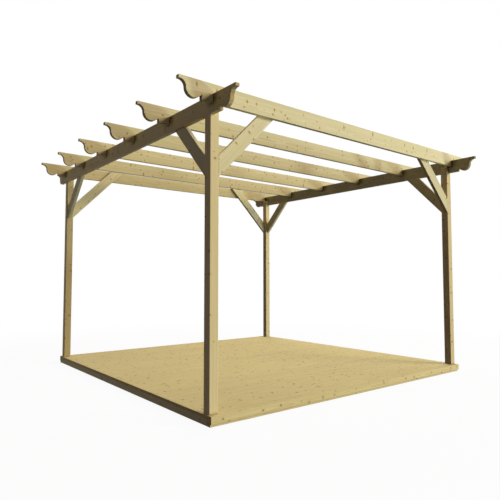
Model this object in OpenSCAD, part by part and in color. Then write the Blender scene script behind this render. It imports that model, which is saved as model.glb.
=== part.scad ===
// Timber garden pergola on a low deck: four lapped posts carry two side
// beams, and six rafters drop into trenches in the beams. Four braces lap
// behind the end rafters and four bear under the beams. Millimetres, +Z up, the
// origin at the centre of the deck's underside, +X along the rafters and +Y
// along the beams.

/* [Deck] */
// Width of the deck frame, side to side
deck_w = 3600; // [3000:50:4800]
// Depth of the deck frame, front to back
deck_d = 3600; // [3000:50:4800]
// Thickness of the joists
joist_t = 45; // [35:1:60]
// Height of the joists
joist_h = 54; // [45:1:150]
// Width that the deck boards come close to
board_w = 118; // [90:1:150]
// Thickness of the deck boards
board_t = 28; // [20:1:40]
// Gap between deck boards
board_gap = 2; // [1:0.5:8]
// Thickness of the fascia boards
fascia_t = 15; // [10:1:25]
// Height of the fascia boards, down from the deck's surface
fascia_h = 59; // [35:1:65]

/* [Posts] */
// Side of the square posts
post_s = 82; // [70:1:150]
// From the deck frame's side to a post
post_inset_side = 12; // [0:1:80]
// From the deck frame's front or back to a post
post_inset_end = 30; // [0:1:80]
// From the deck's surface to the underside of the beams
headroom = 2344; // [2000:1:2800]

/* [Beams and rafters] */
// Depth of the beams and rafters
timber_h = 149; // [135:1:200]
// Thickness of the beams and rafters
timber_t = 38; // [28:1:50]
// From a post's end face to the tip of a beam
beam_overhang = 330; // [280:1:600]
// From a beam's outer face to the tip of a rafter
rafter_overhang = 312; // [240:1:600]
// Depth of the trenches that the rafters sit in
trench_depth = 72; // [20:1:80]
// Clearance on each side of a rafter in its trench
trench_gap = 0.5; // [0.2:0.1:2]
// Width of the first and last bays between rafters, as a share of the others
end_bay_share = 0.967; // [0.8:0.001:1.1]

/* [Ogee ends] */
// From the tip of a timber to the step behind its ogee
ogee_l = 207; // [195:1:235]
// Width of the small nose at the tip
nose_w = 11; // [6:1:20]
// Radius of the hollow under the nose
cove_r = 53; // [40:1:58]
// Radius of the round belly
belly_r = 70; // [60:1:74]
// Slope of the straight run from the belly to the step
run_angle = 33; // [25:1:40]

/* [Braces] */
// Width of the braces
brace_w = 120; // [70:1:150]
// Thickness of the braces
brace_t = 38; // [28:1:40]
// From the underside of the beams down to the foot of a rafter brace
rafter_brace_drop = 494; // [350:1:700]
// From the underside of the beams down to the foot of a beam brace
beam_brace_drop = 503; // [350:1:700]
// From a post's outer side to a beam brace
beam_brace_inset = 14; // [0:1:30]
// Slope of the braces
brace_angle = 45; // [40:1:50]

/* [Hidden] */
wood = [0.84, 0.79, 0.58];
deck_wood = [0.80, 0.73, 0.50];
frame_wood = [0.74, 0.67, 0.46];
rafter_count = 6;
inner_joist_count = 7;
ends = [-1, 1];

deck_top = joist_h + board_t;
board_count = round((deck_d + board_gap) / (board_w + board_gap));
board_fit_w = (deck_d - (board_count - 1) * board_gap) / board_count;
joist_l = deck_d - 2 * joist_t;
joist_pitch = (deck_w - joist_t) / (inner_joist_count + 1);

post_x = deck_w / 2 - post_inset_side;
post_y = deck_d / 2 - post_inset_end;
beam_z = deck_top + headroom;
beam_top = beam_z + timber_h;
beam_l = 2 * (post_y + beam_overhang);
beam_inner_x = post_x - timber_t;
rafter_z = beam_top - trench_depth;
rafter_top = rafter_z + timber_h;
rafter_l = 2 * (post_x + rafter_overhang);
end_rafter_y = post_y + timber_t;
inner_bay_w = (2 * end_rafter_y - timber_t) / (rafter_count - 3 + 2 * end_bay_share);

nose_h = timber_h - belly_r - cove_r;
belly_x = nose_w + cove_r + belly_r;
run_start = [belly_x, belly_r] + belly_r * [sin(run_angle), -cos(run_angle)];
step_h = run_start[1] + (ogee_l - run_start[0]) * tan(run_angle);
arc_step = 5;

foot_cut = brace_w / cos(brace_angle);
top_cut = brace_w / sin(brace_angle);

function side_name(side) = side < 0 ? "left" : "right";
function end_name(end) = end < 0 ? "front" : "back";
function corner_name(end, side) = str(end_name(end), "_", side_name(side));

// Front face of rafter number i, counted from the front.
function rafter_y(i) =
    i == 1 ? -end_rafter_y :
    i == rafter_count ? end_rafter_y - timber_t :
    -end_rafter_y + (i - 2 + end_bay_share) * inner_bay_w;

// Points on an arc after its first one, about arc_step degrees apart.
function arc(centre, r, from, to) =
    let (steps = round(abs(to - from) / arc_step))
    [for (i = [1 : steps])
        let (a = from + (to - from) * i / steps)
        centre + r * [cos(a), sin(a)]];

function reversed(points) = [for (i = [len(points) - 1 : -1 : 0]) points[i]];

// The ogee end of a timber, from its tip down to the step behind it: a nose, a
// hollow, a belly that comes down to the lower edge, and a straight run.
ogee_end = concat(
    [[0, timber_h], [0, timber_h - nose_h], [nose_w, timber_h - nose_h]],
    arc([nose_w, belly_r], cove_r, 90, 0),
    arc([belly_x, belly_r], belly_r, 180, 270 + run_angle),
    [[ogee_l, step_h], [ogee_l, 0]]
);

// Moves what is drawn at the back right corner to any of the four corners.
module at_corner(end, side) {
    mirror([side < 0 ? 1 : 0, 0, 0])
        mirror([0, end < 0 ? 1 : 0, 0])
            children();
}

// Side view of a beam or rafter, centred on its length, its lower edge at y = 0.
module timber_outline(length) {
    right_end = [for (p = ogee_end) [length - p[0], p[1]]];
    translate([-length / 2, 0])
        polygon(concat(ogee_end, reversed(right_end)));
}

// A timber with ogee ends along X, its front face at y = 0.
module timber(length) {
    translate([0, timber_t, 0])
        rotate([90, 0, 0])
            linear_extrude(timber_t)
                timber_outline(length);
}

// A brace that rises along X from a plumb foot at x = 0 to a level top.
module brace(foot_z, top_z) {
    run = (top_z - foot_z) / tan(brace_angle);
    translate([0, brace_t, 0])
        rotate([90, 0, 0])
            linear_extrude(brace_t)
                polygon([
                    [0, foot_z],
                    [run, top_z],
                    [run - top_cut, top_z],
                    [0, foot_z + foot_cut]
                ]);
}

// Post on the deck, its outer part cut away at the top for the beam.
module post() {
    color(wood)
        difference() {
            translate([post_x - post_s, post_y - post_s, deck_top])
                cube([post_s, post_s, rafter_z - deck_top]);
            translate([beam_inner_x, post_y - post_s, beam_z])
                cube([timber_t, post_s, timber_h]);
        }
}

// Side beam lapped into the posts' outer sides, trenched for every rafter.
module beam(side) {
    color(wood)
        at_corner(1, side)
            difference() {
                translate([post_x, 0, beam_z])
                    rotate([0, 0, 90])
                        timber(beam_l);
                for (i = [1 : rafter_count])
                    translate([beam_inner_x, rafter_y(i) - trench_gap, rafter_z])
                        cube([timber_t, timber_t + 2 * trench_gap, trench_depth]);
            }
}

// Rafter across the beams; the first and last lie against the posts' end faces.
module rafter(i) {
    color(wood)
        translate([0, rafter_y(i), rafter_z])
            timber(rafter_l);
}

// Brace from a post's inner side to the inner face of an end rafter.
module rafter_brace() {
    color(wood)
        translate([post_x - post_s, post_y, 0])
            rotate([0, 0, 180])
                brace(beam_z - rafter_brace_drop, rafter_top);
}

// Brace from a post to the underside of the beam.
module beam_brace() {
    color(wood)
        translate([post_x - beam_brace_inset - brace_t, post_y - post_s, 0])
            rotate([0, 0, -90])
                brace(beam_z - beam_brace_drop, beam_z);
}

// Joist across the front or back that the other joists butt against.
module end_rim_joist(end) {
    color(frame_wood)
        translate([-deck_w / 2, end < 0 ? -deck_d / 2 : deck_d / 2 - joist_t, 0])
            cube([deck_w, joist_t, joist_h]);
}

// Joist number i counted from the left side, where 0 is the side's own.
module joist(i) {
    color(frame_wood)
        translate([-deck_w / 2 + i * joist_pitch, -joist_l / 2, 0])
            cube([joist_t, joist_l, joist_h]);
}

// Boards laid side to side over the joists.
module deck_boards() {
    color(deck_wood)
        for (i = [0 : board_count - 1])
            translate([-deck_w / 2, -deck_d / 2 + i * (board_fit_w + board_gap), joist_h])
                cube([deck_w, board_fit_w, board_t]);
}

// Board that faces the front or back edge of the deck.
module fascia(end) {
    color(deck_wood)
        translate([-deck_w / 2, end < 0 ? -deck_d / 2 - fascia_t : deck_d / 2, deck_top - fascia_h])
            cube([deck_w, fascia_t, fascia_h]);
}

for (end = ends, side = ends) {
    at_corner(end, side) post();
    at_corner(end, side) rafter_brace();
    at_corner(end, side) beam_brace();
}
for (side = ends)
    beam(side);
for (i = [1 : rafter_count])
    rafter(i);
for (end = ends) {
    end_rim_joist(end);
    fascia(end);
}
joist(0);  // left_rim_joist
joist(inner_joist_count + 1);  // right_rim_joist
for (i = [1 : inner_joist_count])
    joist(i);
deck_boards();
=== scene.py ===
# %% [markdown]
# A timber pergola on a low deck
#
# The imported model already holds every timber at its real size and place. This lesson dresses those
# timbers: it rounds their edges, gives each one its own piece of pine, drives the screws and lights
# the whole as a product picture. Nothing here moves or resizes a timber.

# %% Load the frame
import math
import random

import bmesh
import bpy
import numpy as np
from mathutils import Euler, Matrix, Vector


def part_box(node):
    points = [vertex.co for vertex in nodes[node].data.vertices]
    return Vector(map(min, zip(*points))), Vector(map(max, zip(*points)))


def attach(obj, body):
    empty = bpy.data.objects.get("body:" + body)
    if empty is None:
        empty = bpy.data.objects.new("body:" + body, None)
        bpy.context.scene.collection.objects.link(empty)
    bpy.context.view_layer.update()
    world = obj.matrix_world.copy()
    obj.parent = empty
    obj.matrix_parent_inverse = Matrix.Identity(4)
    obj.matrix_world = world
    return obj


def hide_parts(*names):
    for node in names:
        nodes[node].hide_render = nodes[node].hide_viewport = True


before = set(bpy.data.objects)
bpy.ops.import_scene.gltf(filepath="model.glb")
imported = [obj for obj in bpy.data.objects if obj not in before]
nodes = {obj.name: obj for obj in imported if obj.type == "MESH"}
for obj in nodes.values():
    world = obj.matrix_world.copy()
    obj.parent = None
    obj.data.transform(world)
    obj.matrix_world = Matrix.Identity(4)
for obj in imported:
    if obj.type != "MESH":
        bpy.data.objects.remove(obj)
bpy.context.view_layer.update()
scene = bpy.context.scene

# %% [markdown]
# The camera
#
# The picture was taken from outside the front left corner, at about chest height, with the
# whole frame in view. A camera can be aimed at a target with a constraint, but a measured place
# with a heading and a tilt is easier to check against the edges of the timbers, so it is set that
# way. The lens comes from the focal length in pixels of a square picture.

# %% Camera at the measured place
PICTURE_SIDE = 500
FOCAL_PIXELS = 484.59
SENSOR_WIDTH = 36.0

camera_place = Vector((-3.8731, -4.9110, 1.1368))
camera_heading = math.radians(38.312)
camera_tilt = math.radians(3.194)
camera_roll = math.radians(0.010)

camera_data = bpy.data.cameras.new("picture_camera")
camera_data.sensor_width = SENSOR_WIDTH
camera_data.lens = SENSOR_WIDTH * FOCAL_PIXELS / PICTURE_SIDE
camera = bpy.data.objects.new("picture_camera", camera_data)
camera.location = camera_place
camera.rotation_euler = Euler((math.pi / 2 + camera_tilt, camera_roll, -camera_heading))
scene.collection.objects.link(camera)
scene.camera = camera
print("lens %.2f mm, %.2f m from the middle" % (camera_data.lens, camera_place.length))

# %% [markdown]
# Small tools for node trees
#
# Every finish below is a tree of nodes. Adding nodes one at a time by hand takes many lines, so a
# few helpers do it: they add a node and fill its sockets, write arithmetic, smooth steps and mixed
# colours as calls, and turn a colour as it is seen on screen into the linear numbers that a shader
# works in.

# %% Helpers for node trees
def fill(tree, socket, value):
    """Links another socket to this one, or sets it to a plain value."""
    if isinstance(value, bpy.types.NodeSocket):
        tree.links.new(value, socket)
    else:
        socket.default_value = value


def add_node(tree, kind, inputs=None, **settings):
    """Adds a node; inputs maps a socket's name or number to a socket or a value."""
    made = tree.nodes.new(kind)
    for name, value in settings.items():
        setattr(made, name, value)
    for key, value in (inputs or {}).items():
        fill(tree, made.inputs[key], value)
    return made


def calc(tree, operation, *values):
    """One Math node, as its output socket."""
    made = add_node(tree, "ShaderNodeMath", dict(enumerate(values)), operation=operation)
    return made.outputs[0]


def ramp(tree, value, low, high, to_low=0.0, to_high=1.0):
    """A smooth step from to_low at low to to_high at high."""
    made = add_node(tree, "ShaderNodeMapRange", interpolation_type="SMOOTHSTEP")
    for name, given in zip(
        ("Value", "From Min", "From Max", "To Min", "To Max"), (value, low, high, to_low, to_high)
    ):
        fill(tree, made.inputs[name], given)
    return made.outputs["Result"]


def blend(tree, share, first, second, way="MIX"):
    """Mixes two colours; share 0 gives the first and 1 the second."""
    made = add_node(tree, "ShaderNodeMix", data_type="RGBA", blend_type=way)
    for name, given in (("Factor_Float", share), ("A_Color", first), ("B_Color", second)):
        socket = next(s for s in made.inputs if s.identifier == name)
        fill(tree, socket, given)
    return next(s for s in made.outputs if s.identifier == "Result_Color")


def screen_colour(red, green, blue):
    """A colour given as 0 to 255 on screen, as linear red, green, blue and alpha."""
    shares = [value / 255 for value in (red, green, blue)]
    linear = [s / 12.92 if s <= 0.04045 else ((s + 0.055) / 1.055) ** 2.4 for s in shares]
    return (*linear, 1.0)


print("helpers ready, screen white is", screen_colour(255, 255, 255))

# %% [markdown]
# Light and floor
#
# The main light of the picture is large and soft, low at the front right, and leaves the left sides
# of the timbers in deep shade. The key lamp stands so far off that it lights near and far timbers
# alike, and a cooler lamp closer in pales the first rafter most. The picture also shows soft dark
# patches on the rafters, where a light from below would throw the front right post's shadow, and
# dim rafter ends beyond the left beam. So some light seems to come from below, as a bright floor
# throws it back. A far lamp under the floor stands in for that, and the floor casts no shadow, to
# let it through. A lamp high on the right lights the deck between the rafters, a faint one on the
# left opens the shaded sides, and one behind on the right keeps the back from going black. One
# bright sky could do it all, but lamps can be set one by one. The floor and the sky are white to
# the eye and to reflections, and dim to light that bounces, so they hardly light the undersides.

# %% Soft lamps
LAMP_AIM = Vector((0.0, -0.4, 1.8))
WARM_WHITE = (1.0, 0.88, 0.70)
COOL_WHITE = (0.70, 0.81, 1.0)
PALE_WHITE = (0.97, 1.0, 0.98)
FLOOR_WHITE = (0.78, 0.94, 1.0)


def soft_lamp(name, bearing, height, distance, width, strength, colour):
    """A round lamp; bearing is in degrees from the front to the right, height from the horizon."""
    turn, rise = math.radians(bearing), math.radians(height)
    level = math.cos(rise)
    out = Vector((math.sin(turn) * level, -math.cos(turn) * level, math.sin(rise)))
    data = bpy.data.lights.new(name, "AREA")
    data.shape = "DISK"
    data.size = width
    data.color = colour
    data.energy = strength * math.pi * distance ** 2
    lamp = bpy.data.objects.new(name, data)
    lamp.location = LAMP_AIM + out * distance
    lamp.rotation_euler = out.to_track_quat("Z", "Y").to_euler()
    lamp.visible_camera = False
    scene.collection.objects.link(lamp)
    print(name, "at", [round(value, 2) for value in lamp.location], "power", round(data.energy))
    return lamp


soft_lamp("key_lamp", 38.5, 20.0, distance=120.0, width=42.0, strength=1.90, colour=WARM_WHITE)
soft_lamp("near_lamp", 33.0, 9.0, distance=10.0, width=2.0, strength=0.74, colour=COOL_WHITE)
soft_lamp("floor_lamp", 40.5, -18.0, distance=60.0, width=6.0, strength=0.83, colour=FLOOR_WHITE)
soft_lamp("top_lamp", 100.0, 62.0, distance=7.0, width=4.0, strength=1.80, colour=PALE_WHITE)
soft_lamp("left_lamp", 245.0, -8.0, distance=6.0, width=2.0, strength=0.095, colour=COOL_WHITE)
back_lamp = soft_lamp(
    "back_lamp", 150.0, 12.0, distance=14.0, width=6.0, strength=1.0, colour=WARM_WHITE
)
back_lamp.visible_glossy = False

# %% White sky
WHITE = (1.0, 1.0, 1.0, 1.0)
SKY_COLOUR = (1.0, 0.80, 1.02, 1.0)
SKY_LIGHT = 0.10
scene.view_settings.view_transform = "Standard"


def seen_rays(tree):
    """1 for rays that are seen, straight or in a reflection or glass, and 0 for bounced light."""
    path = add_node(tree, "ShaderNodeLightPath")
    seen = calc(tree, "MAXIMUM", path.outputs["Is Camera Ray"], path.outputs["Is Glossy Ray"])
    return calc(tree, "MAXIMUM", seen, path.outputs["Is Transmission Ray"])


world = bpy.data.worlds.new("white_studio")
scene.world = world
world.use_nodes = True
sky = world.node_tree
sky.nodes.clear()
dim_sky = add_node(sky, "ShaderNodeBackground", {"Color": SKY_COLOUR, "Strength": SKY_LIGHT})
white_sky = add_node(sky, "ShaderNodeBackground", {"Color": WHITE, "Strength": 1.0})
shown_sky = add_node(
    sky, "ShaderNodeMixShader", {0: seen_rays(sky), 1: dim_sky.outputs[0], 2: white_sky.outputs[0]}
)
add_node(sky, "ShaderNodeOutputWorld", {"Surface": shown_sky.outputs[0]})
print("sky gives", SKY_LIGHT, "of white")

# %% Pale floor
FLOOR_SIDE = 120.0
FLOOR_COLOUR = (0.9, 0.9, 0.9, 1.0)
FLOOR_BOUNCE = (0.05, 0.035, 0.03, 1.0)
SHADOW_NEAR, SHADOW_FAR = 3.0, 7.0
SHADOW_DEPTH = 0.058

floor_paint = bpy.data.materials.new("floor_paint")
floor_paint.use_nodes = True
paint = floor_paint.node_tree
paint.nodes.clear()
floor_spot = add_node(paint, "ShaderNodeTexCoord").outputs["Object"]
floor_reach = add_node(
    paint, "ShaderNodeVectorMath", {0: floor_spot}, operation="LENGTH"
).outputs["Value"]
shadow_share = ramp(paint, floor_reach, SHADOW_NEAR, SHADOW_FAR, SHADOW_DEPTH, 0.0)
matt = add_node(paint, "ShaderNodeBsdfDiffuse", {"Color": FLOOR_COLOUR})
dark_matt = add_node(paint, "ShaderNodeBsdfDiffuse", {"Color": FLOOR_BOUNCE})
glow = add_node(paint, "ShaderNodeEmission", {"Color": WHITE, "Strength": 1.0})
white_floor = add_node(
    paint, "ShaderNodeMixShader", {0: shadow_share, 1: glow.outputs[0], 2: matt.outputs[0]}
)
shown_floor = add_node(
    paint,
    "ShaderNodeMixShader",
    {0: seen_rays(paint), 1: dark_matt.outputs[0], 2: white_floor.outputs[0]},
)
add_node(paint, "ShaderNodeOutputMaterial", {"Surface": shown_floor.outputs[0]})

floor_mesh = bpy.data.meshes.new("studio_floor")
half_floor = FLOOR_SIDE / 2
floor_mesh.from_pydata(
    [(x * half_floor, y * half_floor, 0.0) for x, y in ((-1, -1), (1, -1), (1, 1), (-1, 1))],
    [],
    [(0, 1, 2, 3)],
)
floor_mesh.materials.append(floor_paint)
studio_floor = bpy.data.objects.new("studio_floor", floor_mesh)
scene.collection.objects.link(studio_floor)
studio_floor.visible_shadow = False
print("floor of", FLOOR_SIDE, "m, shadow share", SHADOW_DEPTH)

# %% [markdown]
# Pine
#
# Each timber was sawn from a log, so its grain is not a picture pasted on its faces: the same rings
# run through all of them. The shader works in the log's own measures, which each piece carries as
# the attribute grain: the distance along the log, and two distances from its heart, the pith. Rings
# are circles about the pith. Knots are branches that grow out from it, so they are found by place
# along the log and angle round it, and show round on a broad face and long on a narrow one. The
# The attributes end and edge mark sawn ends and worn edges, and tint gives each piece its own shade,
# which for some timbers is partly painted light and shade. The corners where rafters drop into the
# beams get painted shade, darker than the lamps leave them: an Ambient Occlusion node finds the
# places there that other timber hems in, and the beams are darkened and browned there.

# %% Noise along the grain
STREAK_SCALE = 0.8, 55.0
FIBRE_SCALE = 9.0, 420.0
CLOUD_SCALE = 1.3, 7.0


def grain_noise(tree, parts, scale, detail=2.0, roughness=0.5):
    """Soft noise from 0 to 1 that is drawn out along the log; scale is along it and across it."""
    along, across = scale
    scaled = [calc(tree, "MULTIPLY", part, by) for part, by in zip(parts, (along, across, across))]
    place = add_node(tree, "ShaderNodeCombineXYZ", dict(enumerate(scaled))).outputs[0]
    inputs = {"Vector": place, "Scale": 1.0, "Detail": detail, "Roughness": roughness}
    return add_node(tree, "ShaderNodeTexNoise", inputs, noise_dimensions="3D").outputs[0]


print("fibres are %.0f times as long as wide" % (FIBRE_SCALE[1] / FIBRE_SCALE[0]))

# %% Knots as branches
KNOT_SCATTER = 0.95
SMALLEST_KNOT = 0.35
NO_KNOT = 1e-5


def slant(tree, first, second):
    """The length of a line from its two parts at right angles."""
    squares = [calc(tree, "POWER", part, 2.0) for part in (first, second)]
    return calc(tree, "SQRT", calc(tree, "ADD", *squares))


def knots(tree, along, turn, reach, step, spread, share, size):
    """Distance from the nearest branch in its own radii, and that radius."""
    lattice = add_node(
        tree,
        "ShaderNodeCombineXYZ",
        {0: calc(tree, "DIVIDE", along, step), 1: calc(tree, "DIVIDE", turn, spread)},
    ).outputs[0]
    cells = add_node(
        tree,
        "ShaderNodeTexVoronoi",
        {"Vector": lattice, "Scale": 1.0, "Randomness": KNOT_SCATTER},
        voronoi_dimensions="2D",
        feature="F1",
    )
    offset = add_node(
        tree,
        "ShaderNodeVectorMath",
        {0: lattice, 1: cells.outputs["Position"]},
        operation="SUBTRACT",
    ).outputs[0]
    offset = add_node(tree, "ShaderNodeSeparateXYZ", {0: offset})
    away_along = calc(tree, "MULTIPLY", offset.outputs[0], step)
    away_round = calc(tree, "MULTIPLY", calc(tree, "MULTIPLY", offset.outputs[1], spread), reach)
    chance = add_node(tree, "ShaderNodeSeparateColor", {0: cells.outputs["Color"]})
    present = calc(tree, "LESS_THAN", chance.outputs[1], share)
    radius = ramp(tree, chance.outputs[0], 0.0, 1.0, SMALLEST_KNOT * size, size)
    radius = calc(tree, "MAXIMUM", calc(tree, "MULTIPLY", radius, present), NO_KNOT)
    return calc(tree, "DIVIDE", slant(tree, away_along, away_round), radius), radius


print("the smallest knots are", SMALLEST_KNOT, "of the largest")

# %% Painted shade in the joints
JOINT_SHADE_REACH = 0.11
JOINT_SHADE_SAMPLES = 8
JOINT_SHADE_POWER = 2.6
JOINT_SHADE_BROWN = 1.4
JOINT_SHADE_EDGE = 0.002
JOINT_SHADE_FADE = 0.04
beam_low, beam_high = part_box("right_beam")
rafter_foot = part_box("rafter_1")[0].z


def within(tree, value, low, high, fade):
    """1 from low to high, with a fall to 0 over the fade below and a sharp edge above."""
    above = ramp(tree, value, low - fade, low)
    return calc(tree, "MULTIPLY", above, ramp(tree, value, high, high + JOINT_SHADE_EDGE, 1.0, 0.0))


def browned(tree, colour, shade, power):
    """The colour times a shade whose blue is raised to a power, so that dark places turn brown."""
    blue = calc(tree, "POWER", shade, power)
    tone = add_node(tree, "ShaderNodeCombineColor", {0: shade, 1: shade, 2: blue}).outputs[0]
    return blend(tree, 1.0, colour, tone, "MULTIPLY")


# Painted shade: the beams are darkened and browned where other timber hems them in at the trenches.
def with_painted_joint_shade(tree, colour):
    """The colour with painted shade in the corners of the joints, high on the beams only."""
    spot = add_node(tree, "ShaderNodeTexCoord").outputs["Object"]
    place = add_node(tree, "ShaderNodeSeparateXYZ", {0: spot})
    aside = calc(tree, "ABSOLUTE", place.outputs[0])
    on_beam = within(tree, aside, beam_low.x - JOINT_SHADE_EDGE, beam_high.x + JOINT_SHADE_EDGE, JOINT_SHADE_EDGE)
    at_trench = within(tree, place.outputs[2], rafter_foot, beam_high.z, JOINT_SHADE_FADE)
    near = add_node(
        tree, "ShaderNodeAmbientOcclusion", {"Distance": JOINT_SHADE_REACH}, samples=JOINT_SHADE_SAMPLES
    )
    depth = calc(tree, "SUBTRACT", 1.0, calc(tree, "POWER", near.outputs["AO"], JOINT_SHADE_POWER))
    depth = calc(tree, "MULTIPLY", depth, calc(tree, "MULTIPLY", on_beam, at_trench))
    return browned(tree, colour, calc(tree, "SUBTRACT", 1.0, depth), JOINT_SHADE_BROWN)


# Shows where the painted joint shade lies on the beams.
print("stain on the beams from %.3f to %.3f m up" % (rafter_foot - JOINT_SHADE_FADE, beam_high.z))

# %% Clear wood
RING_WIDTH = 0.0062
RING_WANDER = 5 * RING_WIDTH
KNOT_BOW = 0.9
LATE_RISE = 0.25, 0.88
LATE_FALL = 0.93, 1.0
LATE_SHARE = 0.6
# A noise's low and high values, and what they turn into.
CLOUD_TINGE = 0.35, 0.75, 0.0, 0.7
STREAK_SHADE = 0.25, 0.75, -0.06, 0.05
FIBRE_SHADE = 0.2, 0.8, 0.96, 1.03
YELLOWING = 1.7


def late_wood(tree, reach, cloud, halo, knot_radius):
    """Share of late wood in the rings, which wander with the clouds and bow out round the knots."""
    wander = calc(tree, "MULTIPLY", cloud, RING_WANDER)
    bow = calc(tree, "MULTIPLY", halo, calc(tree, "MULTIPLY", knot_radius, KNOT_BOW))
    place = calc(tree, "ADD", calc(tree, "ADD", reach, wander), bow)
    ring = calc(tree, "FRACT", calc(tree, "DIVIDE", place, RING_WIDTH))
    rise, fall = ramp(tree, ring, *LATE_RISE), ramp(tree, ring, *LATE_FALL, 1.0, 0.0)
    return calc(tree, "MULTIPLY", rise, fall)


def clear_wood(tree, pale, late, tinge, late_share, cloud, streak, fibre):
    """Wood without knots: late rings in pale wood, clouds of the tinge, streaks and fibres."""
    colour = blend(tree, calc(tree, "MULTIPLY", late_share, LATE_SHARE), pale, late)
    colour = blend(tree, ramp(tree, cloud, *CLOUD_TINGE), colour, tinge)
    shade = calc(tree, "ADD", ramp(tree, streak, *STREAK_SHADE), ramp(tree, fibre, *FIBRE_SHADE))
    return browned(tree, colour, shade, YELLOWING)


print("rings of %.1f mm" % (RING_WIDTH * 1000))

# %% Knots, ends and edges in the wood
KNOT_RIM = 0.75, 1.1
HALO_RIM = 0.9, 2.6
HALO_SHARE = 0.2
HALO_COLOUR = screen_colour(176, 140, 84)
KNOT_RINGS = 2.6
KNOT_RING_RISE = 0.2, 0.9
KNOT_PALE, KNOT_DARK = screen_colour(184, 150, 94), screen_colour(150, 118, 70)
END_PALE, END_DARK = screen_colour(205, 186, 130), screen_colour(158, 128, 76)
END_DEPTH = 0.75
EDGE_COLOUR = screen_colour(224, 214, 176)
EDGE_WEAR = 0.3, 0.7, 0.1, 0.5


def with_knots(tree, colour, knot_near, knot, halo):
    """The colour with knots in it, which have rings of their own and a darker halo."""
    rings = calc(tree, "FRACT", calc(tree, "MULTIPLY", knot_near, KNOT_RINGS))
    knot_wood = blend(tree, ramp(tree, rings, *KNOT_RING_RISE), KNOT_PALE, KNOT_DARK)
    colour = blend(tree, calc(tree, "MULTIPLY", halo, HALO_SHARE), colour, HALO_COLOUR)
    return blend(tree, knot, colour, knot_wood)


def attribute(tree, name, output):
    """One output of an Attribute node, which reads what a piece's mesh carries under a name."""
    return add_node(tree, "ShaderNodeAttribute", attribute_name=name).outputs[output]


def with_ends(tree, colour, end, late_share, streak):
    """The colour with sawn ends, which drink more preservative, and with edges rubbed paler."""
    end_wood = blend(tree, late_share, END_PALE, END_DARK)
    colour = blend(tree, calc(tree, "MULTIPLY", end, END_DEPTH), colour, end_wood)
    edge = attribute(tree, "edge", "Fac")
    worn = calc(tree, "MULTIPLY", edge, ramp(tree, streak, *EDGE_WEAR))
    return blend(tree, worn, colour, EDGE_COLOUR)


print("halos reach", HALO_RIM[1], "radii out from a knot")

# %% The pine finish
NOISE_DETAIL = 3.0
FIBRE_ROUGHNESS = 0.6
LATE_HEIGHT, FIBRE_HEIGHT, KNOT_HEIGHT = 0.00012, 0.00035, 0.0004
RELIEF_STRENGTH = 0.7
STREAK_ROUGHNESS = 0.2, 0.8, 0.60, 0.74
END_ROUGHNESS = 0.1
WOOD_GLOSS = 0.15


def relief(tree, late_share, fibre, knot):
    """The fine relief of planed wood, where late wood, fibres and knots stand up a little."""
    late = calc(tree, "MULTIPLY", late_share, LATE_HEIGHT)
    height = calc(tree, "ADD", late, calc(tree, "MULTIPLY", fibre, FIBRE_HEIGHT))
    height = calc(tree, "ADD", height, calc(tree, "MULTIPLY", knot, KNOT_HEIGHT))
    inputs = {"Height": height, "Distance": 1.0, "Strength": RELIEF_STRENGTH}
    return add_node(tree, "ShaderNodeBump", inputs).outputs[0]


def pine(name, pale, late, tinge, knot_step, knot_spread, knot_share, knot_size, joints=False):
    """A planed softwood: pale wood with darker late rings, a tinge in clouds, and knots."""
    material = bpy.data.materials.new(name)
    material.use_nodes = True
    tree = material.node_tree
    tree.nodes.clear()
    parts = add_node(tree, "ShaderNodeSeparateXYZ", {0: attribute(tree, "grain", "Vector")}).outputs
    along, side, deep = parts
    reach = slant(tree, side, deep)
    turn = calc(tree, "ARCTAN2", deep, side)
    knot_near, knot_radius = knots(
        tree, along, turn, reach, knot_step, knot_spread, knot_share, knot_size
    )
    knot = ramp(tree, knot_near, *KNOT_RIM, 1.0, 0.0)
    halo = ramp(tree, knot_near, *HALO_RIM, 1.0, 0.0)
    cloud = grain_noise(tree, parts, CLOUD_SCALE)
    streak = grain_noise(tree, parts, STREAK_SCALE, NOISE_DETAIL)
    fibre = grain_noise(tree, parts, FIBRE_SCALE, NOISE_DETAIL, FIBRE_ROUGHNESS)
    late_share = late_wood(tree, reach, cloud, halo, knot_radius)
    end = attribute(tree, "end", "Fac")

    colour = clear_wood(tree, pale, late, tinge, late_share, cloud, streak, fibre)
    colour = with_knots(tree, colour, knot_near, knot, halo)
    colour = with_ends(tree, colour, end, late_share, streak)
    # The tint brings in each timber's tone, which for some timbers is partly painted light and
    # shade.
    colour = blend(tree, 1.0, colour, attribute(tree, "tint", "Color"), "MULTIPLY")
    # Painted shade in the corners of the joints, on the beams only.
    if joints:
        colour = with_painted_joint_shade(tree, colour)

    rougher = calc(tree, "MULTIPLY", end, END_ROUGHNESS)
    surface = add_node(
        tree,
        "ShaderNodeBsdfPrincipled",
        {
            "Base Color": colour,
            "Roughness": calc(tree, "ADD", ramp(tree, streak, *STREAK_ROUGHNESS), rougher),
            "Normal": relief(tree, late_share, fibre, knot),
            "Specular IOR Level": WOOD_GLOSS,
        },
    )
    add_node(tree, "ShaderNodeOutputMaterial", {"Surface": surface.outputs[0]})
    print(name, "has", len(tree.nodes), "nodes")
    return material


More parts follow.
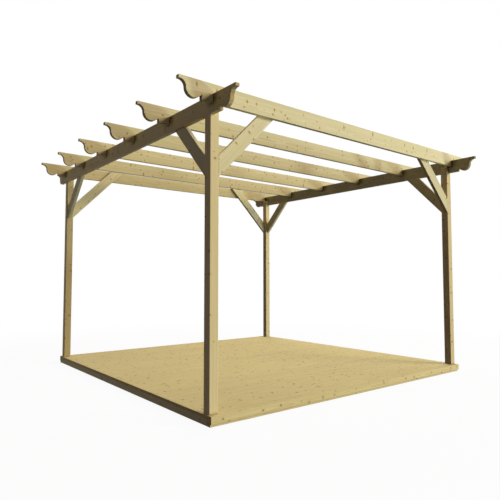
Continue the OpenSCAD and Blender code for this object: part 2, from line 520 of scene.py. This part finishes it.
# %% Three kinds of pine
frame_pine = pine(
    "frame_pine",
    pale=screen_colour(222, 211, 166),
    late=screen_colour(204, 182, 126),
    tinge=screen_colour(212, 203, 150),
    knot_step=0.15,
    knot_spread=0.75,
    knot_share=0.6,
    knot_size=0.009,
    joints=True,
)
deck_pine = pine(
    "deck_pine",
    pale=screen_colour(231, 214, 154),
    late=screen_colour(208, 183, 118),
    tinge=screen_colour(222, 204, 140),
    knot_step=0.18,
    knot_spread=0.9,
    knot_share=0.55,
    knot_size=0.011,
)
joist_pine = pine(
    "joist_pine",
    pale=screen_colour(218, 203, 152),
    late=screen_colour(196, 172, 114),
    tinge=screen_colour(204, 192, 136),
    knot_step=0.22,
    knot_spread=0.9,
    knot_share=0.6,
    knot_size=0.013,
)

# %% [markdown]
# Planing a timber
#
# Real timbers have their sharp arrises taken off by the planer, and that thin line of light along
# every edge is what makes them look solid. A bevel could be left as a live modifier, but here the
# result is made a plain mesh at once, because the pine needs attributes that only the finished
# faces can carry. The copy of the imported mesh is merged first, since its triangles come loose.

# %% Merging and rounding
MERGE_DISTANCE = 1e-5
FLAT_ANGLE = math.radians(0.5)
SHARP_ANGLE = math.radians(30)
ARRIS_STEPS = 2
FACE_WEIGHT = 100


def merged_copy(node_name):
    """The node's mesh with its loose triangles joined into whole faces."""
    mesh = nodes[node_name].data.copy()
    shape = bmesh.new()
    shape.from_mesh(mesh)
    bmesh.ops.remove_doubles(shape, verts=shape.verts, dist=MERGE_DISTANCE)
    bmesh.ops.dissolve_limit(shape, angle_limit=FLAT_ANGLE, verts=shape.verts, edges=shape.edges)
    for face in shape.faces:
        face.smooth = True
    shape.to_mesh(mesh)
    shape.free()
    for name in [a.name for a in mesh.attributes if a.name.startswith("custom_normal")]:
        mesh.attributes.remove(mesh.attributes[name])
    return mesh


def rounded(mesh, name, material, arris):
    """The mesh with rounded arrises, which keep material number 1 as their mark."""
    mesh.materials.clear()
    mesh.materials.append(material)
    mesh.materials.append(material)
    rough = bpy.data.objects.new(name + "_rough", mesh)
    scene.collection.objects.link(rough)
    bevel = rough.modifiers.new("arris", "BEVEL")
    bevel.width = arris
    bevel.segments = ARRIS_STEPS
    bevel.limit_method = "ANGLE"
    bevel.angle_limit = SHARP_ANGLE
    bevel.material = 1
    flat = rough.modifiers.new("flat_faces", "WEIGHTED_NORMAL")
    flat.weight = FACE_WEIGHT
    graph = bpy.context.evaluated_depsgraph_get()
    finished = bpy.data.meshes.new_from_object(rough.evaluated_get(graph))
    bpy.data.objects.remove(rough)
    finished.name = name
    return finished


print("arrises are rounded in", ARRIS_STEPS, "steps")

# %% Places in the log
SAW_SEED = 7
LOG_LENGTH = 12.0
PITH_OFF = 0.015, 0.06
PITH_OVER = 0.35
SQUARE_ON = 0.1
saw = random.Random(SAW_SEED)


def sticks_of(mesh):
    """Groups of vertex numbers, one for each separate stick in the mesh."""
    shape = bmesh.new()
    shape.from_mesh(mesh)
    shape.verts.ensure_lookup_table()
    left, found = set(range(len(shape.verts))), []
    while left:
        stack, group = [left.pop()], []
        while stack:
            at = stack.pop()
            group.append(at)
            for edge in shape.verts[at].link_edges:
                other = edge.other_vert(shape.verts[at]).index
                if other in left:
                    left.discard(other)
                    stack.append(other)
        found.append(np.array(sorted(group)))
    shape.free()
    return found


def cross_axes(points, run):
    """The thinner direction across a stick, and the one across both."""
    choices = [axis for axis in np.eye(3) if abs(axis @ run) < SQUARE_ON]
    thin = min(choices, key=lambda axis: np.ptp(points @ axis))
    return thin, np.cross(run, thin)


def sawn_from_log(points, run):
    """Places of the points in a log: along it, and two ways out from its pith."""
    thin, broad = cross_axes(points, run)
    middle = (points.max(0) + points.min(0)) / 2
    along, side, deep = ((points - middle) @ axis for axis in (run, thin, broad))
    pith_off = np.ptp(side) / 2 + saw.uniform(*PITH_OFF)
    pith_over = saw.uniform(-PITH_OVER, PITH_OVER) * np.ptp(deep)
    facing = saw.choice((-1, 1))
    start = saw.uniform(-LOG_LENGTH, LOG_LENGTH)
    return np.column_stack((along + start, side * facing + pith_off, deep + pith_over))


print("log of", LOG_LENGTH, "m, its pith at most", PITH_OFF[1], "m off a timber")

# %% Shades of the logs, partly painted light and shade
LIGHT_SPREAD = 0.018
WARM_SPREAD = 0.006
BLUE_LOSS = 1.5
# Lightness and warmth of the logs that differ, fitted so that their faces come close to the picture.
# This is partly the wood's own tone and partly painted light and shade, such as the darker back
# rafters and right beam.
LOG_TONES_AND_PAINTED_SHADE = {
    "front_left_post": (1.06, 0.06),
    "front_right_post": (0.90, 0.09),
    "back_left_post": (0.83, 0.13),
    "back_right_post": (0.96, 0.06),
    "front_left_rafter_brace": (1.15, 0.0),
    "front_right_beam_brace": (0.80, 0.02),
    "left_beam": (0.97, 0.06),
    "right_beam": (0.70, 0.0),
    "front_rim_joist": (1.04, 0.05),
    "rafter_1": (1.17, 0.0),
    "rafter_2": (1.06, 0.0),
    "rafter_3": (1.01, 0.02),
    "rafter_4": (1.04, 0.03),
    "rafter_5": (0.91, 0.04),
    "rafter_6": (0.79, 0.06),
}


def own_shade(log_light, log_warm):
    """A stick's shade: that of its log, with a small change of lightness and warmth of its own."""
    light = log_light * (1 + saw.uniform(-LIGHT_SPREAD, LIGHT_SPREAD))
    warm = log_warm + saw.uniform(-WARM_SPREAD, WARM_SPREAD)
    return (light * (1 + warm), light, light * (1 - BLUE_LOSS * warm), 1.0)


# Part of these shades is painted light and shade, not the wood alone.
print(len(LOG_TONES_AND_PAINTED_SHADE), "timbers come from logs with a shade of their own")

# %% Planing one timber
END_SHARE = 0.75
planed_count = 0


def add_attribute(mesh, name, kind, domain, values):
    """Gives a mesh one value for each of its points or faces, under a name."""
    made = mesh.attributes.new(name, kind, domain)
    field = {"FLOAT": "value", "FLOAT_VECTOR": "vector", "FLOAT_COLOR": "color"}[kind]
    made.data.foreach_set(field, np.asarray(values, np.float32).ravel())


def planed(node_name, run, material, arris):
    """Stands a planed timber with its own grain in the place of a node."""
    global planed_count
    run = np.array(Vector(run).normalized())
    mesh = rounded(merged_copy(node_name), node_name + "_planed", material, arris)
    points = np.zeros(len(mesh.vertices) * 3, np.float32)
    mesh.vertices.foreach_get("co", points)
    points = points.reshape(-1, 3).astype(float)
    grain, tint = np.zeros((len(points), 3)), np.ones((len(points), 4))
    for stick in sticks_of(mesh):
        grain[stick] = sawn_from_log(points[stick], run)
        tint[stick] = own_shade(*LOG_TONES_AND_PAINTED_SHADE.get(node_name, (1.0, 0.0)))
    normals = np.array([face.normal for face in mesh.polygons])
    edges = np.array([face.material_index for face in mesh.polygons])
    add_attribute(mesh, "grain", "FLOAT_VECTOR", "POINT", grain)
    add_attribute(mesh, "tint", "FLOAT_COLOR", "POINT", tint)
    add_attribute(mesh, "end", "FLOAT", "FACE", np.abs(normals @ run) > END_SHARE)
    add_attribute(mesh, "edge", "FLOAT", "FACE", edges)
    mesh.polygons.foreach_set("material_index", np.zeros(len(mesh.polygons), np.int32))
    mesh.materials.pop(index=1)
    piece = bpy.data.objects.new(node_name + "_planed", mesh)
    scene.collection.objects.link(piece)
    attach(piece, "root")
    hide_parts(node_name)
    planed_count += 1
    return piece


print("ready to plane", len(nodes), "timbers")

# %% [markdown]
# The frame
#
# Posts have upright grain, beams run front to back, rafters side to side, and each brace has its
# grain along its own slope. Only that direction differs, so one loop over each family is enough.

# %% Posts, beams, rafters and braces
ENDS = {"front": 1, "back": -1}
SIDES = {"left": 1, "right": -1}
POST_ARRIS = 0.004
TIMBER_ARRIS = 0.0018

for end, inward_y in ENDS.items():
    for side, inward_x in SIDES.items():
        corner = end + "_" + side
        planed(corner + "_post", (0, 0, 1), frame_pine, POST_ARRIS)
        planed(
            corner + "_rafter_brace", (inward_x, 0, 1), frame_pine, TIMBER_ARRIS
        )
        planed(corner + "_beam_brace", (0, inward_y, 1), frame_pine, TIMBER_ARRIS)
for side in SIDES:
    planed(side + "_beam", (0, 1, 0), frame_pine, TIMBER_ARRIS)
rafters = sorted(name for name in nodes if name.startswith("rafter_"))
for name in rafters:
    planed(name, (1, 0, 0), frame_pine, TIMBER_ARRIS)
print("planed", planed_count, "timbers of the frame")

# %% [markdown]
# The deck
#
# The boards lie close together and their edges are barely eased, so that from a few steps away the
# deck reads as one floor and the joints show only close up. All boards share one mesh; the planing
# step still gives each of them its own log and its own shade. A pale deck would throw light up and
# fill the undersides of the rafters, which are dark in the picture, so it is left out of bounced
# light.

# %% Boards, fascias and joists
BOARD_ARRIS = 0.001
JOIST_ARRIS = 0.002

deck = planed("deck_boards", (1, 0, 0), deck_pine, BOARD_ARRIS)
for end in ENDS:
    planed(end + "_fascia", (1, 0, 0), deck_pine, BOARD_ARRIS)
    planed(end + "_rim_joist", (1, 0, 0), joist_pine, JOIST_ARRIS)
joists = sorted(name for name in nodes if name.startswith("joist_"))
joists += [side + "_rim_joist" for side in SIDES]
for name in joists:
    planed(name, (0, 1, 0), joist_pine, JOIST_ARRIS)
deck.visible_diffuse = False
print("planed", planed_count, "pieces in all, deck faces", len(deck.data.polygons))

# %% [markdown]
# Screws
#
# Every board is held by two screws at each joist, some five hundred in all. Copying a head by hand
# for each would be slow to change, so Geometry Nodes put one small head on every point of a mesh of
# places. Each point says which way its head faces, and a seed turns the heads about at random, as
# a driver leaves them.

# %% Inputs of the screw head tree
def tree_socket(tree, name, kind):
    """Adds a named input to a tree and returns its identifier."""
    return tree.interface.new_socket(name, in_out="INPUT", socket_type=kind).identifier


screw_tree = bpy.data.node_groups.new("screw_heads", "GeometryNodeTree")
tree_socket(screw_tree, "Places", "NodeSocketGeometry")
head_radius_in = tree_socket(screw_tree, "Head radius", "NodeSocketFloat")
head_height_in = tree_socket(screw_tree, "Head height", "NodeSocketFloat")
recess_share_in = tree_socket(screw_tree, "Recess share", "NodeSocketFloat")
recess_depth_in = tree_socket(screw_tree, "Recess depth", "NodeSocketFloat")
finish_in = tree_socket(screw_tree, "Finish", "NodeSocketMaterial")
seed_in = tree_socket(screw_tree, "Seed", "NodeSocketInt")
screw_tree.interface.new_socket("Heads", in_out="OUTPUT", socket_type="NodeSocketGeometry")
print("screw tree has", len(screw_tree.interface.items_tree), "sockets")

# %% One head, on every place
HEAD_SIDES = 8

given = add_node(screw_tree, "NodeGroupInput").outputs
drum = add_node(
    screw_tree,
    "GeometryNodeMeshCylinder",
    {"Vertices": HEAD_SIDES, "Radius": given["Head radius"], "Depth": given["Head height"]},
    fill_type="NGON",
)
rim = add_node(
    screw_tree,
    "GeometryNodeExtrudeMesh",
    {"Mesh": drum.outputs["Mesh"], "Selection": drum.outputs["Top"], "Offset Scale": 0.0},
    mode="FACES",
)
narrowed = add_node(
    screw_tree,
    "GeometryNodeScaleElements",
    {
        "Geometry": rim.outputs["Mesh"],
        "Selection": rim.outputs["Top"],
        "Scale": given["Recess share"],
    },
    domain="FACE",
)
sunk = add_node(
    screw_tree,
    "GeometryNodeExtrudeMesh",
    {
        "Mesh": narrowed.outputs[0],
        "Selection": rim.outputs["Top"],
        "Offset Scale": calc(screw_tree, "MULTIPLY", given["Recess depth"], -1.0),
    },
    mode="FACES",
)
facing = add_node(
    screw_tree, "GeometryNodeInputNamedAttribute", {"Name": "facing"}, data_type="FLOAT_VECTOR"
)
upright = add_node(
    screw_tree, "FunctionNodeAlignRotationToVector", {"Vector": facing.outputs[0]}, axis="Z"
)
spin = add_node(
    screw_tree, "FunctionNodeRandomValue", {"Seed": given["Seed"]}, data_type="FLOAT"
)
fill(screw_tree, next(s for s in spin.inputs if s.identifier == "Max_001"), math.tau)
spun = add_node(
    screw_tree,
    "FunctionNodeAxisAngleToRotation",
    {"Axis": (0, 0, 1), "Angle": next(s for s in spin.outputs if s.identifier == "Value_001")},
)
turned = add_node(
    screw_tree,
    "FunctionNodeRotateRotation",
    {0: upright.outputs[0], 1: spun.outputs[0]},
    rotation_space="LOCAL",
)
spread = add_node(
    screw_tree,
    "GeometryNodeInstanceOnPoints",
    {"Points": given["Places"], "Instance": sunk.outputs["Mesh"], "Rotation": turned.outputs[0]},
)
real = add_node(screw_tree, "GeometryNodeRealizeInstances", {0: spread.outputs[0]})
coated = add_node(
    screw_tree,
    "GeometryNodeSetMaterial",
    {"Geometry": real.outputs[0], "Material": given["Finish"]},
)
add_node(screw_tree, "NodeGroupOutput", {0: coated.outputs[0]})
print("screw tree has", len(screw_tree.nodes), "nodes")

# %% The screws' coating
WEAR_SCALE = 700.0
COAT_WEAR = 0.35, 0.7
COAT_BRIGHT, COAT_DULL = screen_colour(150, 128, 84), screen_colour(112, 92, 58)
COAT_ROUGHNESS = 0.3, 0.7, 0.35, 0.55
COAT_METAL = 0.6

screw_coat = bpy.data.materials.new("screw_coat")
screw_coat.use_nodes = True
coat = screw_coat.node_tree
coat.nodes.clear()
spot = add_node(coat, "ShaderNodeTexCoord").outputs["Object"]
wear_inputs = {"Vector": spot, "Scale": WEAR_SCALE, "Detail": 2.0}
wear = add_node(coat, "ShaderNodeTexNoise", wear_inputs).outputs[0]
coat_surface = add_node(
    coat,
    "ShaderNodeBsdfPrincipled",
    {
        "Base Color": blend(coat, ramp(coat, wear, *COAT_WEAR), COAT_BRIGHT, COAT_DULL),
        "Roughness": ramp(coat, wear, *COAT_ROUGHNESS),
        "Metallic": COAT_METAL,
    },
)
add_node(coat, "ShaderNodeOutputMaterial", {"Surface": coat_surface.outputs[0]})
print("coating has", len(coat.nodes), "nodes")

# %% Driving the screws
HEAD_RADIUS, HEAD_HEIGHT = 0.004, 0.0005
RECESS_SHARE, RECESS_DEPTH = 0.45, 0.0012
SPIN_SEED = 3


def drive(name, places):
    """Makes one mesh of screw heads; places are pairs of a point and the way its head faces."""
    mesh = bpy.data.meshes.new(name + "_places")
    mesh.from_pydata([tuple(point) for point, _ in places], [], [])
    add_attribute(mesh, "facing", "FLOAT_VECTOR", "POINT", [tuple(way) for _, way in places])
    marks = bpy.data.objects.new(name + "_places", mesh)
    scene.collection.objects.link(marks)
    heads = marks.modifiers.new("heads", "NODES")
    heads.node_group = screw_tree
    for socket, value in (
        (head_radius_in, HEAD_RADIUS),
        (head_height_in, HEAD_HEIGHT),
        (recess_share_in, RECESS_SHARE),
        (recess_depth_in, RECESS_DEPTH),
        (finish_in, screw_coat),
        (seed_in, SPIN_SEED),
    ):
        heads[socket] = value
    graph = bpy.context.evaluated_depsgraph_get()
    finished = bpy.data.meshes.new_from_object(marks.evaluated_get(graph))
    bpy.data.objects.remove(marks)
    piece = bpy.data.objects.new(name, finished)
    scene.collection.objects.link(piece)
    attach(piece, "root")
    print(name, len(places), "heads,", len(finished.polygons), "faces")


def under_a_post(point):
    """True where a post stands on the place."""
    for end in ENDS:
        for side in SIDES:
            low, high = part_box(end + "_" + side + "_post")
            if low.x < point.x < high.x and low.y < point.y < high.y:
                return True
    return False


print("heads with", HEAD_SIDES, "sides and a radius of", HEAD_RADIUS, "m")

# %% Places of the screws on the boards
BOARD_SCREW_INSET = 0.026
HEAD_PROUD = 0.0001

joist_lines = sorted((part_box(name)[0].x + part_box(name)[1].x) / 2 for name in joists)
deck_points = np.array([vertex.co for vertex in deck.data.vertices])
deck_screws = []
for board in sticks_of(deck.data):
    low, high = deck_points[board].min(0), deck_points[board].max(0)
    for x in joist_lines:
        for y in (low[1] + BOARD_SCREW_INSET, high[1] - BOARD_SCREW_INSET):
            spot_on_board = Vector((x, y, high[2] + HEAD_PROUD))
            if not under_a_post(spot_on_board):
                deck_screws.append((spot_on_board, Vector((0, 0, 1))))
drive("deck_screws", deck_screws)
